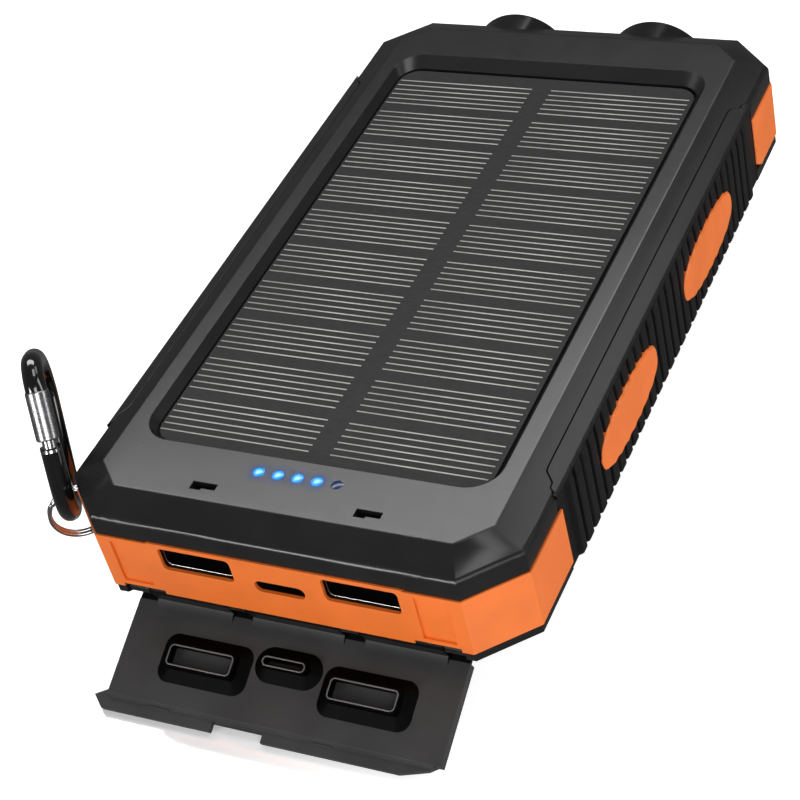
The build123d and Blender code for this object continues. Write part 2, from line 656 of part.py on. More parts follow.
def make_plug(x, s, base_w, base_h, base_r, rim_w, rim_h, rim_r):
    """Hollow silicone plug: a sloped foot on the flap, then a straight frame that fills the port."""
    n0 = FLAP_IN

    def outline(n, w, h, r):
        plane = Plane(origin=(x, HINGE_Y + n, HINGE_Z + s), x_dir=(1, 0, 0), z_dir=(0, 1, 0))
        return plane * RectangleRounded(w, h, min(r, h / 2 - 0.02))

    foot = loft([outline(n0, base_w, base_h, base_r), outline(n0 + 0.85, rim_w, rim_h, rim_r)], ruled=True)
    frame = extrude(outline(n0 + 0.85, rim_w, rim_h, rim_r), amount=1.45)
    hollow = extrude(outline(n0 + 0.25, rim_w - 0.9, rim_h - 0.9, max(rim_r - 0.45, 0.2)), amount=3)
    return open_flap(foot + frame - hollow)


# ---------------------------------------------------------------- lanyard
def make_split_ring():
    turns = 1.12
    pitch = 2 * RING_WIRE + 0.04
    height = pitch * turns
    path = Helix(pitch=pitch, height=height, radius=RING_R)
    start = path @ 0
    profile = Plane(origin=start, z_dir=path % 0) * Circle(RING_WIRE)
    coil = sweep(profile, path=path, is_frenet=True)
    coil = Pos(0, 0, -height / 2) * coil
    plane = ring_plane()
    return plane.location * coil


def clip_plane():
    """Local frame of the carabiner: x runs from the spine to the gate, y runs up to the apex."""
    heading = math.radians(CLIP_HEADING)
    rise = math.radians(CLIP_RISE)
    roll = math.radians(CLIP_ROLL)
    ahead = Vector(math.cos(heading), math.sin(heading), 0)
    aside = Vector(math.sin(heading), -math.cos(heading), 0)
    up = Vector(0, 0, 1)
    length_dir = ahead * math.cos(rise) + up * math.sin(rise)
    gate_dir = (up * math.cos(rise) - ahead * math.sin(rise)) * math.cos(roll) + aside * math.sin(roll)
    return Plane(origin=Vector(*CLIP_FOOT), x_dir=gate_dir, z_dir=gate_dir.cross(length_dir))


def arc_bar(x, y, radius, start, turn):
    """Part of a ring of the clip's wire, round (x, y) from the angle `start` on through `turn`."""
    a = math.radians(start)
    spoke = Vector(math.cos(a), math.sin(a), 0)
    plane = Plane(origin=Vector(x, y, 0) + spoke * radius, x_dir=spoke, z_dir=(-spoke.Y, spoke.X, 0))
    return revolve(plane * Circle(CLIP_WIRE), Axis((x, y, 0), (0, 0, 1)), turn)


def clip_wire():
    """Round wire from the gate's nose, round the foot, up the spine and over to the gate's hinge."""
    low_y = CLIP_FOOT_R
    high_y = CLIP_LENGTH - CLIP_HALF
    taper = math.asin((CLIP_HALF - CLIP_FOOT_R) / (high_y - low_y))
    degrees = math.degrees(taper)
    low = (CLIP_FOOT_R * math.cos(taper), low_y - CLIP_FOOT_R * math.sin(taper))
    high = (CLIP_HALF * math.cos(taper), high_y - CLIP_HALF * math.sin(taper))
    run = (GATE_LOW - 0.5 - low[1]) / (high[1] - low[1])
    nose = (low[0] + run * (high[0] - low[0]), GATE_LOW - 0.5)
    shoulder_x = CLIP_HALF - CLIP_SHOULDER_R
    shoulder_y = CLIP_LENGTH - CLIP_SHOULDER_R
    wire = arc_bar(0, low_y, CLIP_FOOT_R, 180 + degrees, 180 - 2 * degrees)
    wire += rod((low[0], low[1], 0), (nose[0], nose[1], 0), CLIP_WIRE)
    wire += rod((-low[0], low[1], 0), (-high[0], high[1], 0), CLIP_WIRE)
    wire += arc_bar(0, high_y, CLIP_HALF, 90, 90 + degrees)
    wire += rod((0, CLIP_LENGTH, 0), (shoulder_x, CLIP_LENGTH, 0), CLIP_WIRE)
    wire += arc_bar(shoulder_x, shoulder_y, CLIP_SHOULDER_R, 0, 90)
    return wire


def make_carabiner():
    """Body, gate, pin and spring, all in the clip's own frame."""
    place = clip_plane().location
    h = CLIP_HALF
    mid = (GATE_TOP + GATE_LOW) / 2
    # flat tongues at both ends of the gap fit slots in the gate; the lower one has a T head
    tongue = Pos(h, GATE_TOP - 0.2, 0) * Box(2.2, 3.8, 1.1)
    nose = Pos(h - 0.85, GATE_LOW - 0.2, 0) * Box(1.2, 3.2, 1.1)
    nose += Pos(h - 0.85, GATE_LOW + 1.4, 0) * Box(1.2, 0.7, 2.6)
    body = clip_wire() + tongue + nose
    hinge = (h, GATE_TOP - 1.2)
    body -= Pos(hinge[0], hinge[1], 0) * Cylinder(0.45, 4)
    gate = Pos(h, mid, 0) * Rot(90, 0, 0) * Cylinder(1.6, GATE_TOP - GATE_LOW - 0.3)
    gate -= Pos(h, GATE_TOP - 0.4, 0) * Box(4, 4.6, 1.3)
    gate -= Pos(h, GATE_LOW + 1.3, 0) * Box(4, 2.6, 1.3)
    gate -= Pos(h, GATE_LOW + 1.6, 0) * Box(4, 1.5, 2.9)
    gate -= Pos(hinge[0], hinge[1], 0) * Cylinder(0.5, 4)
    gate -= Pos(h, mid - 0.1, 0) * Rot(90, 0, 0) * Cylinder(0.75, 3.0)
    pin = Pos(hinge[0], hinge[1], 0) * Cylinder(0.45, 3.0)
    spring = Pos(h, mid - 0.1, 0) * Rot(90, 0, 0) * Cylinder(0.6, 2.6)
    return place * body, place * gate, place * pin, place * spring


# ---------------------------------------------------------------- build everything
def main():
    os.makedirs("parts", exist_ok=True)
    region = grip_region()
    skin_right = (hull(-1) - hull(SKIN)) & region
    skin_left = mirror_x(skin_right)
    band = bumper_band(-2) - prism(SKIN, -1, 30)
    front_band = band & block(-50, 50, FRONT - 5, BUMPER_END + FIT, 0, 30)
    rear_band = band & block(TORCH_X + 1, 50, REAR_BUMPER_END - FIT, REAR + 5, 0, 30)
    bands = [front_band, rear_band, mirror_x(rear_band)]
    grip = make_grip()
    button_hole = port_slab_x(-50, -30, 9.4, 4.8, 2.2)
    button_seat = port_slab_x(-SIDE + 0.5, -30, 10.6, 5.4, 2.4)

    save(make_top_cover(skin_right + skin_left), "top_cover")
    save(make_bottom_cover([skin_right, skin_left], bands), "bottom_cover")
    save(make_front_bumper(), "front_bumper")
    save(make_port_plate(), "port_plate")
    save(make_rear_corner(), "rear_corner_right")
    save(mirror_x(make_rear_corner()), "rear_corner_left")
    save(grip, "grip_right")
    save(mirror_x(grip) - button_hole - button_seat, "grip_left")
    for name, y in (("front", -INLAY_Y), ("rear", INLAY_Y)):
        inlay = make_inlay(y)
        save(inlay, "grip_inlay_right_" + name)
        save(mirror_x(inlay), "grip_inlay_left_" + name)

    for name, shape in zip(("solar_board", "solar_cells", "solar_film", "panel_tape"), make_solar()):
        save(shape, name)

    save(make_main_board(), "main_board")
    for side, x in (("left", PORT_X[0]), ("right", PORT_X[2])):
        shell, tongue = make_usb_a(x)
        save(shell, "usb_a_shell_" + side)
        save(tongue, "usb_a_tongue_" + side)
    shell, tongue = make_micro()
    save(shell, "usb_c_shell")
    save(tongue, "usb_c_tongue")
    save(make_chips(), "control_chips")
    save(make_capacitors(), "capacitors")
    inductor = block(-25, -19, FRONT + 26.2, FRONT + 32.2, BOARD_TOP, BOARD_TOP + 3.2)
    save(fillet(inductor.edges().filter_by(Axis.Z), 1.0), "power_inductor")
    for name, shape in zip(("light_guide", "charge_leds", "led_board"), make_light_guide()):
        save(shape, name)
    for name, shape in zip(("battery_lower", "battery_upper", "battery_pad"), make_batteries()):
        save(shape, name)
    save(make_leads(), "battery_leads")

    for side, s in (("left", -1), ("right", 1)):
        names = ("torch_bezel_", "torch_reflector_", "torch_seal_", "torch_lens_")
        for name, shape in zip(names, make_torch(s)):
            save(shape, name + side)
    for name, shape in zip(("torch_board", "torch_emitters"), make_torch_board()):
        save(shape, name)

    save(make_power_button(), "power_button")
    for name, shape in zip(("switch_can", "switch_plunger", "switch_board"), make_switch()):
        save(shape, name)
    save(make_screws(), "case_screws")

    save(make_flap(), "port_flap")
    save(rod((-29.8, HINGE_Y, HINGE_Z), (29.8, HINGE_Y, HINGE_Z), PIN_R), "flap_pin")
    usb_s = USB_Z - HINGE_Z
    for side, x in (("left", PORT_X[0]), ("right", PORT_X[2])):
        save(make_plug(x, usb_s, 16.1, 8.2, 2.2, 12.3, 4.1, 0.7), "flap_plug_" + side)
    save(make_plug(PORT_X[1], MICRO_Z - HINGE_Z, 11.8, 6.0, 3.0, 8.2, 1.9, 0.9), "flap_plug_middle")

    save(lanyard_pin(), "lanyard_pin")
    save(make_split_ring(), "split_ring")
    names = ("carabiner_body", "carabiner_gate", "gate_pin", "gate_spring")
    for name, shape in zip(names, make_carabiner()):
        save(shape, name)


main()
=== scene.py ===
import json
import math

import bmesh
import bpy
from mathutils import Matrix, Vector


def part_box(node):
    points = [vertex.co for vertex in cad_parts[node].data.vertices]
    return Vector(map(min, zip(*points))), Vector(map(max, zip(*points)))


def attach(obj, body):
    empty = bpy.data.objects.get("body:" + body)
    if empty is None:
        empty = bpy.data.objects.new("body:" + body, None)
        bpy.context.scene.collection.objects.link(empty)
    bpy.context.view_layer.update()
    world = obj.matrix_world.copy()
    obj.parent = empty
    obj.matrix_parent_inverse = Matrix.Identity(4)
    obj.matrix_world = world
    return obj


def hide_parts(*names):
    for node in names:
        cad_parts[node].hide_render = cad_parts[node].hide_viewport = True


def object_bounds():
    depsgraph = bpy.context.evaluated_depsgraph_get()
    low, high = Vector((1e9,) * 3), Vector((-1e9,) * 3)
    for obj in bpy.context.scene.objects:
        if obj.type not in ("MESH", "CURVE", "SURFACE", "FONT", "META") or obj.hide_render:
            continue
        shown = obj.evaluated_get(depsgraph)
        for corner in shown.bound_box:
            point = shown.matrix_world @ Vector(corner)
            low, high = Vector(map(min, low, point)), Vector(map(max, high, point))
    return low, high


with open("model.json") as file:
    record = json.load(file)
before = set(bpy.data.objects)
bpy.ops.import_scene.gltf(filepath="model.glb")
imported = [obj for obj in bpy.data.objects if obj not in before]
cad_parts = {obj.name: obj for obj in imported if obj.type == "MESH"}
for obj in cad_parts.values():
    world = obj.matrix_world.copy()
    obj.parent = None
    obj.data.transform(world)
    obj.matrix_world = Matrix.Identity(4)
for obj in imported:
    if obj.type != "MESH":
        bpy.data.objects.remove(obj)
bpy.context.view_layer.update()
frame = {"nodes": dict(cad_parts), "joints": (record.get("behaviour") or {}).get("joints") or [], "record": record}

MM = 0.001
NODES = frame["nodes"]
JOINTS = {joint["name"]: joint for joint in frame["joints"]}
TOP_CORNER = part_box("top_cover")[1]
CASE_TOP = TOP_CORNER.z
FRONT = -TOP_CORNER.y
TOP_DROP = 2.4 * MM             # height of the upper bevel
BOTTOM_RISE = 3.6 * MM          # height of the lower bevel
BEVEL_IN = 5.4 * MM             # how far both bevels run inwards
BEVEL_EDGE = CASE_TOP - TOP_DROP
LOWER_EDGE = 3.7 * MM           # where the grips turn onto the lower bevel


# ---------------------------------------------------------------- materials
class Shader:
    """A Principled material with short helpers for the nodes that feed it."""

    def __init__(self, name, **sockets):
        self.material = bpy.data.materials.new(name)
        self.material.use_nodes = True
        self.nodes = self.material.node_tree.nodes
        self.links = self.material.node_tree.links
        self.principled = self.nodes["Principled BSDF"]
        for key, value in sockets.items():
            self.principled.inputs[key.replace("_", " ")].default_value = value
        self.where = self.nodes.new("ShaderNodeTexCoord").outputs["Object"]

    def noise(self, size_mm, detail=3.0, stretch=(1, 1, 1)):
        """Noise whose features are about size_mm across, drawn out along an axis by stretch."""
        mapping = self.nodes.new("ShaderNodeMapping")
        mapping.inputs["Scale"].default_value = stretch
        self.links.new(self.where, mapping.inputs["Vector"])
        noise = self.nodes.new("ShaderNodeTexNoise")
        noise.inputs["Scale"].default_value = 1.0 / (size_mm * MM)
        noise.inputs["Detail"].default_value = detail
        self.links.new(mapping.outputs["Vector"], noise.inputs["Vector"])
        return noise.outputs["Fac"]

    def ramp(self, value, low, high, start=0.35, end=0.65):
        """Turn a 0 to 1 value into a colour between low and high."""
        ramp = self.nodes.new("ShaderNodeValToRGB")
        ramp.color_ramp.elements[0].position = start
        ramp.color_ramp.elements[1].position = end
        ramp.color_ramp.elements[0].color = (*low, 1)
        ramp.color_ramp.elements[1].color = (*high, 1)
        self.links.new(value, ramp.inputs["Fac"])
        return ramp.outputs["Color"]

    def spread(self, value, low, high):
        """Map a 0 to 1 value to the range low to high."""
        span = self.nodes.new("ShaderNodeMapRange")
        span.inputs["To Min"].default_value = low
        span.inputs["To Max"].default_value = high
        self.links.new(value, span.inputs["Value"])
        return span.outputs["Result"]

    def into(self, value, socket):
        self.links.new(value, self.principled.inputs[socket])

    def bump(self, heights, strength):
        """Bump from one or more (value, depth in mm) layers, laid over each other."""
        normal = None
        for value, depth in heights:
            bump = self.nodes.new("ShaderNodeBump")
            bump.inputs["Strength"].default_value = strength
            bump.inputs["Distance"].default_value = depth * MM
            self.links.new(value, bump.inputs["Height"])
            if normal is not None:
                self.links.new(normal, bump.inputs["Normal"])
            normal = bump.outputs["Normal"]
        self.into(normal, "Normal")


def moulded(name, colour, rough, grain_mm=0.22, grain_depth=0.012, vary=0.12, scuff=0.06,
            **sockets):
    """Moulded plastic or rubber: spark-eroded grain, slight colour drift and handling marks."""
    shader = Shader(name, **sockets)
    dark = [c * (1 - vary) for c in colour]
    light = [c * (1 + vary) for c in colour]
    shader.into(shader.ramp(shader.noise(9.0), dark, light), "Base Color")
    shader.into(shader.spread(shader.noise(3.0, detail=6.0), rough - scuff, rough + scuff), "Roughness")
    grain = shader.noise(grain_mm, detail=2.0)
    shader.bump([(grain, grain_depth), (shader.noise(6.0), grain_depth / 3)], 0.5)
    return shader.material


def metal(name, colour, rough, brush=None, **sockets):
    """Metal with fine scratches; brush is the stretch of the scratches along each axis."""
    shader = Shader(name, Metallic=1.0, **sockets)
    dark = [c * 0.86 for c in colour]
    shader.into(shader.ramp(shader.noise(4.0), dark, colour), "Base Color")
    stretch = brush or (1, 1, 1)
    shader.into(shader.spread(shader.noise(0.5, 4.0, stretch), rough * 0.6, rough * 1.5), "Roughness")
    shader.bump([(shader.noise(0.15, 2.0, stretch), 0.0008)], 0.25)
    return shader.material


def glass(name, tint, rough=0.03):
    shader = Shader(name, IOR=1.49, Transmission_Weight=1.0)
    shader.into(shader.ramp(shader.noise(6.0), [c * 0.97 for c in tint], tint), "Base Color")
    shader.into(shader.spread(shader.noise(1.5), rough * 0.5, rough * 1.6), "Roughness")
    return shader.material


def solar_face():
    """Dark laminate over the cells, with a fine drawn-out crystal grain."""
    shader = Shader("solar_laminate", Specular_IOR_Level=0.14)
    grain = shader.noise(1.1, 5.0, (1, 3.5, 1))
    shader.into(shader.ramp(grain, (0.021, 0.021, 0.0215), (0.029, 0.029, 0.030)), "Base Color")
    shader.into(shader.spread(shader.noise(2.0, 4.0), 0.38, 0.52), "Roughness")
    shader.bump([(shader.noise(0.35, 2.0), 0.006)], 0.3)
    return shader.material


def led_glow(name, core, rim, strength):
    """Lens that glows: a bright core that falls off to a deeper blue towards its rim; on the unlit lens the faint
    glow is painted light.
    """
    shader = Shader(name, Base_Color=(*rim, 1), Roughness=0.15)
    shader.into(shader.ramp(shader.noise(0.5), [c * 0.8 for c in rim], rim), "Base Color")
    middle = shader.nodes.new("ShaderNodeAttribute")
    middle.attribute_name = "glow"
    shader.into(shader.ramp(middle.outputs["Fac"], rim, core, 0.25, 0.85), "Emission Color")
    shader.principled.inputs["Emission Strength"].default_value = strength
    return shader.material


def halo():
    """Soft blue spill round a lit LED, clear at its edge."""
    material = bpy.data.materials.new("led_halo")
    material.use_nodes = True
    nodes = material.node_tree.nodes
    links = material.node_tree.links
    nodes.clear()
    out = nodes.new("ShaderNodeOutputMaterial")
    mix = nodes.new("ShaderNodeMixShader")
    clear = nodes.new("ShaderNodeBsdfTransparent")
    light = nodes.new("ShaderNodeEmission")
    light.inputs["Color"].default_value = (0.02, 0.2, 0.75, 1)
    light.inputs["Strength"].default_value = 0.8
    shade = nodes.new("ShaderNodeAttribute")
    shade.attribute_name = "spill"
    links.new(shade.outputs["Fac"], mix.inputs["Fac"])
    links.new(clear.outputs[0], mix.inputs[1])
    links.new(light.outputs[0], mix.inputs[2])
    links.new(mix.outputs[0], out.inputs["Surface"])
    return material


BLACK = (0.0125, 0.0125, 0.0125)
M = {
    "case": moulded("case_black", BLACK, 0.26, grain_mm=0.28, grain_depth=0.005, scuff=0.03),
    "flap": moulded("flap_black", (0.054, 0.054, 0.054), 0.42, Specular_IOR_Level=0.35),
    "rubber": moulded("grip_rubber", (0.0062, 0.0060, 0.0060), 0.36, grain_mm=0.35, grain_depth=0.015,
                      Specular_IOR_Level=0.3),
    "silicone": moulded("plug_silicone", (0.0012, 0.0012, 0.0012), 0.5, grain_mm=0.5,
                        grain_depth=0.004, Specular_IOR_Level=0.06),
    "orange": moulded("bumper_orange", (0.88, 0.185, 0.024), 0.40, vary=0.05, scuff=0.05),
    "port_black": moulded("port_black", (0.003, 0.003, 0.003), 0.4, Specular_IOR_Level=0.2),
    "board": moulded("board_green", (0.01, 0.09, 0.035), 0.3, grain_mm=0.8),
    "chip": moulded("chip_black", (0.02, 0.02, 0.02), 0.45),
    "foam": moulded("foam_grey", (0.06, 0.06, 0.06), 0.9, grain_mm=0.6, grain_depth=0.1),
    "lead": moulded("lead_red", (0.35, 0.01, 0.01), 0.35),
    "pouch": metal("pouch_foil", (0.62, 0.62, 0.64), 0.35),
    "steel": metal("steel", (0.72, 0.72, 0.72), 0.14),
    "shell": metal("port_shell", (0.72, 0.68, 0.64), 0.22),
    "dark_steel": metal("dark_steel", (0.12, 0.12, 0.12), 0.3),
    # Mid grey for the thin tubes along the plugs' rims: a painted highlight.
    "rim": moulded("plug_rim_highlight", (0.14, 0.14, 0.14), 0.35, grain_depth=0.001),
    "gate": metal("gate_satin", (0.5, 0.5, 0.51), 0.26, brush=(1, 1, 0.12)),
    "gold": metal("contact_gold", (0.8, 0.5, 0.2), 0.2),
    "lacquer": moulded("clip_lacquer", (0.004, 0.004, 0.004), 0.12, grain_depth=0.0015, scuff=0.03,
                       Coat_Weight=1.0, Coat_Roughness=0.05),
    "bezel": moulded("bezel_gloss", (0.008, 0.008, 0.008), 0.16, grain_depth=0.002, scuff=0.04),
    "mirror": metal("reflector", (0.9, 0.9, 0.9), 0.06),
    "lens": glass("lens_clear", (0.95, 0.97, 1.0)),
    "led": moulded("led_white", (0.8, 0.8, 0.72), 0.4),
    "solar": solar_face(),
    "solar_line": moulded("printed_silver", (0.60, 0.585, 0.55), 0.4, grain_depth=0.002),
    "lit": led_glow("led_lit", (0.35, 0.9, 1.0), (0.015, 0.22, 0.75), 0.95),
    # The unlit lens still glows faintly: a painted glow.
    "unlit_painted_glow": led_glow("led_unlit", (0.006, 0.016, 0.05), (0.015, 0.035, 0.10), 0.3),
    "halo": halo(),
}


# ---------------------------------------------------------------- mesh helpers
def new_piece(name, mesh, body, slot, *materials):
    for material in materials:
        mesh.materials.append(material)
    piece = bpy.data.objects.new(name, mesh)
    bpy.context.collection.objects.link(piece)
    mesh.shade_smooth()
    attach(piece, body)
    return piece


def mesh_from(name, points, faces):
    mesh = bpy.data.meshes.new(name)
    mesh.from_pydata([tuple(p) for p in points], [], faces)
    mesh.validate()
    return mesh


def node_body(node):
    for body, nodes in frame["record"]["behaviour"]["bodies"].items():
        if node in nodes:
            return body
    return None


def node_slot(node):
    for entry in frame["record"]["subparts"]:
        if entry["node"] == node:
            return entry["material_slot"]
    return None


def soften(node, material, width_mm, segments=2, angle=28, extra=()):
    """A copy of a CAD node with its sharp edges rolled over, which stands for the node."""
    mesh = NODES[node].data.copy()
    mesh.name = "soft_" + node
    mesh.materials.clear()
    work = bmesh.new()
    work.from_mesh(mesh)
    bmesh.ops.remove_doubles(work, verts=work.verts, dist=0.002 * MM)
    bmesh.ops.dissolve_limit(work, angle_limit=math.radians(0.6), verts=work.verts, edges=work.edges)
    work.to_mesh(mesh)
    work.free()
    if "custom_normal" in mesh.attributes:
        mesh.attributes.remove(mesh.attributes["custom_normal"])
    piece = new_piece("soft_" + node, mesh, node_body(node), node_slot(node), material, *extra)
    roll = piece.modifiers.new("rolled_edges", "BEVEL")
    roll.width = width_mm * MM
    roll.segments = segments
    roll.limit_method = "ANGLE"
    roll.angle_limit = math.radians(angle)
    roll.use_clamp_overlap = True
    normals = piece.modifiers.new("face_normals", "WEIGHTED_NORMAL")
    normals.keep_sharp = False
    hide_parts(node)
    return piece


def copy_of(node, *materials):
    """A copy of a CAD node in its own shape, so that its faces can take more than one material."""
    mesh = NODES[node].data.copy()
    mesh.name = "copy_" + node
    mesh.materials.clear()
    piece = bpy.data.objects.new("copy_" + node, mesh)
    bpy.context.collection.objects.link(piece)
    for material in materials:
        mesh.materials.append(material)
    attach(piece, node_body(node))
    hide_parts(node)
    return piece


def paint(node, material):
    """A CAD node that keeps its own shape and gets a finished material."""
    slots = NODES[node].material_slots
    for entry in slots:
        entry.material = material
    if not slots:
        NODES[node].data.materials.append(material)


def tube(path, radius, sides):
    """Points and faces of a round bar along a list of points, closed at both ends."""
    points = []
    faces = []
    side = None
    for i, here in enumerate(path):
        ahead = (path[min(i + 1, len(path) - 1)] - path[max(i - 1, 0)]).normalized()
        if side is None:
            side = ahead.orthogonal().normalized()
        side = (side - ahead * side.dot(ahead)).normalized()
        up = ahead.cross(side)
        for k in range(sides):
            turn = 2 * math.pi * k / sides
            points.append(here + (side * math.cos(turn) + up * math.sin(turn)) * radius)
    for i in range(len(path) - 1):
        for k in range(sides):
            a = i * sides + k
            b = i * sides + (k + 1) % sides
            faces.append((a, b, b + sides, a + sides))
    faces.append(tuple(reversed(range(sides))))
    faces.append(tuple(range((len(path) - 1) * sides, len(path) * sides)))
    return points, faces


def rounded_loop(half_w, half_h, radius, steps=6):
    """Points, in metres, once round a rounded rectangle given in millimetres, back to the first point."""
    radius = min(radius, half_h - 0.02)
    loop = []
    for quarter, (sx, sy) in enumerate(((1, 1), (-1, 1), (-1, -1), (1, -1))):
        for k in range(steps + 1):
            turn = math.radians(90 * quarter + 90 * k / steps)
            loop.append(((sx * (half_w - radius) + radius * math.cos(turn)) * MM,
                         (sy * (half_h - radius) + radius * math.sin(turn)) * MM))
    return loop + [loop[0], loop[1]]


def smooth_step(low, high, value):
    """0 below low, 1 above high and an eased rise between; low may be the larger of the two."""
    part = min(max((value - low) / (high - low), 0.0), 1.0)
    return part * part * (3 - 2 * part)


def slab(bm, x0, x1, y0, y1, z0, z1):
    """Add a box to a bmesh."""
    corners = [bm.verts.new((x, y, z)) for z in (z0, z1) for y in (y0, y1) for x in (x0, x1)]
    for face in ((0, 2, 3, 1), (4, 5, 7, 6), (0, 1, 5, 4), (2, 6, 7, 3), (0, 4, 6, 2), (1, 3, 7, 5)):
        bm.faces.new([corners[i] for i in face])


# ---------------------------------------------------------------- case and grips
def build_case():
    soften("top_cover", M["case"], 0.22)
    soften("bottom_cover", M["case"], 0.25)
    for node in ("front_bumper", "rear_corner_left", "rear_corner_right"):
        soften(node, M["orange"], 0.35, 3)
    soften("port_plate", M["port_black"], 0.15)
    for side in ("left", "right"):
        for end in ("front", "rear"):
            soften(f"grip_inlay_{side}_{end}", M["orange"], 0.15, angle=20)


WALL = 39.5 * MM                # half the width of the case
SPLIT_Z = 17.0 * MM             # where the top cover's skirt ends
BUTTON_Z = 11.8 * MM
GRIP_HALF = 50.4 * MM           # half the length of a grip
GRIP_STEPS = 719                # rows along the grip, about 0.14 mm apart
GRIP_FRONT_STOP = 49.2 * MM     # below the skirt the grip ends here, clear of the front bumper
RIB_PITCH = 3.12 * MM
RIB_HEIGHT = 0.62 * MM
RIB_END = 46.2 * MM
RIB_FOOT = WALL - 0.12 * MM     # the ribs stand on this plane
RIB_TOP_GAP = 1.3 * MM
WALL_LEVELS = 14
BEVEL_LEVELS = 6
BEVEL_REACH = 2.4 * MM          # how far the ribs run in under the case
LOWER_TILT = 0.35               # share of the rib height that points down on the lower bevel
SEAM = 0.16 * MM
FLANGE_FACES = 3
FLANGE = ((50.4, 39.5), (49.9, 39.0), (49.3, 38.35), (48.2, 38.3), (46.7, 36.95), (45.8, 36.8), (0.0, 36.8))


def flange_edge(y):
    """Plan of the flange's inner edge: straight along the middle with a small jog at both ends."""
    y = abs(y) / MM
    for (y1, x1), (y0, x0) in zip(FLANGE, FLANGE[1:]):
        if y >= y0:
            part = min(max((y - y0) / (y1 - y0), 0.0), 1.0)
            return (x0 + (x1 - x0) * part) * MM
    return FLANGE[-1][1] * MM


def rib_shape(y):
    """Height of the ribs: rounded lands near 1 with a narrow groove down to -0.9 between them."""
    part = abs(2 * ((y / RIB_PITCH) % 1.0) - 1)
    land = 1 - 0.3 * part ** 4
    groove = min(max((part - 0.72) / 0.14, 0.0), 1.0)
    return land * (1 - groove * groove * (3 - 2 * groove)) - 0.9 * groove


def grip_profile(y, side):
    """The grip's skin at y, from the flange down: x, z and share of the rib height at each point."""
    inner = flange_edge(y) + SEAM
    bevel_z = BEVEL_EDGE + (WALL - inner) * TOP_DROP / BEVEL_IN
    profile = [(inner, bevel_z - 0.5 * MM, 0),
               (inner, bevel_z + 0.02 * MM, 0),
               (inner + 0.12 * MM, bevel_z + 0.08 * MM, 0),
               (WALL - 0.2 * MM, BEVEL_EDGE + 0.18 * MM, 0),
               (WALL + 0.22 * MM, BEVEL_EDGE - 0.05 * MM, 0),
               (WALL + 0.34 * MM, BEVEL_EDGE - 0.3 * MM, 0.06),
               (WALL + 0.34 * MM, BEVEL_EDGE - 0.6 * MM, 0.12),
               (RIB_FOOT, BEVEL_EDGE - 0.8 * MM, 0.9)]
    for k in range(WALL_LEVELS + 1):
        z = BEVEL_EDGE - RIB_TOP_GAP + (LOWER_EDGE - BEVEL_EDGE + RIB_TOP_GAP) * k / WALL_LEVELS
        profile.append((RIB_FOOT, z, 1.0 if k else 0.8))
    for k in range(1, BEVEL_LEVELS + 1):
        part = k / BEVEL_LEVELS
        reach = BEVEL_REACH * part
        profile.append((RIB_FOOT - reach, LOWER_EDGE - reach * BOTTOM_RISE / BEVEL_IN, 1 - part * 0.8))
    if side > 0:
        return profile
    near = smooth_step(7.4 * MM, 6.2 * MM, abs(y))
    return [(x, z, share * (1 - near * smooth_step(4.2 * MM, 3.4 * MM, abs(z - BUTTON_Z))))
            for x, z, share in profile]


def grip_row(y, side):
    """One closed ring of points across the grip at y: the skin, then four points of its back."""
    live = smooth_step(RIB_END + 0.5 * MM, RIB_END - 0.5 * MM, abs(y))
    height = RIB_HEIGHT * rib_shape(y) * live
    row = []
    for x, z, share in grip_profile(y, side):
        along = max(y, -GRIP_FRONT_STOP) if z < SPLIT_Z else y
        tilt = LOWER_TILT if z < LOWER_EDGE else 0.0
        row.append((x + height * share * (1 - tilt), along, z - height * share * tilt))
    along = row[-1][1]
    row += [(37.0 * MM, along, 2.2 * MM), (37.9 * MM, along, 4.5 * MM), (37.9 * MM, along, 16.5 * MM)]
    row.append((37.6 * MM, y, 19.5 * MM))
    return row


def build_grip(side):
    """Rubber side grip: a flange on the bevel, upright ribs down the wall and round the lower bevel."""
    name = "grip_right" if side > 0 else "grip_left"
    rows = [grip_row(-GRIP_HALF + 2 * GRIP_HALF * i / GRIP_STEPS, side) for i in range(GRIP_STEPS + 1)]
    count = len(rows[0])
    points = [(side * x, y, z) for row in rows for x, y, z in row]
    faces = []
    for i in range(GRIP_STEPS):
        for k in range(count):
            a = i * count + k
            b = i * count + (k + 1) % count
            quad = (a, b, b + count, a + count)
            faces.append(quad if side > 0 else tuple(reversed(quad)))
    first = tuple(range(count))
    last = tuple(range(GRIP_STEPS * count, (GRIP_STEPS + 1) * count))
    faces.append(tuple(reversed(first)) if side > 0 else first)
    faces.append(last if side > 0 else tuple(reversed(last)))
    mesh = mesh_from("ribbed_" + name, points, faces)
    piece = new_piece("ribbed_" + name, mesh, "case", node_slot(name), M["rubber"], M["case"])
    for i, face in enumerate(mesh.polygons[:GRIP_STEPS * count]):
        if i % count <= FLANGE_FACES + 1:
            face.material_index = 1
    mesh.set_sharp_from_angle(angle=math.radians(50))
    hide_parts(name)


# ---------------------------------------------------------------- solar panel and indicator lights
GRID_FIRST = -50.1 * MM
GRID_PITCH = 1.456 * MM
GRID_GROUPS = 10
GRID_LINES = 6
GRID_WIDTH = 0.25 * MM
GRID_SUNK = 0.01 * MM
GRID_PROUD = 0.015 * MM
GRID_COLUMNS = ((-29.2, -1.95), (1.9, 28.8))


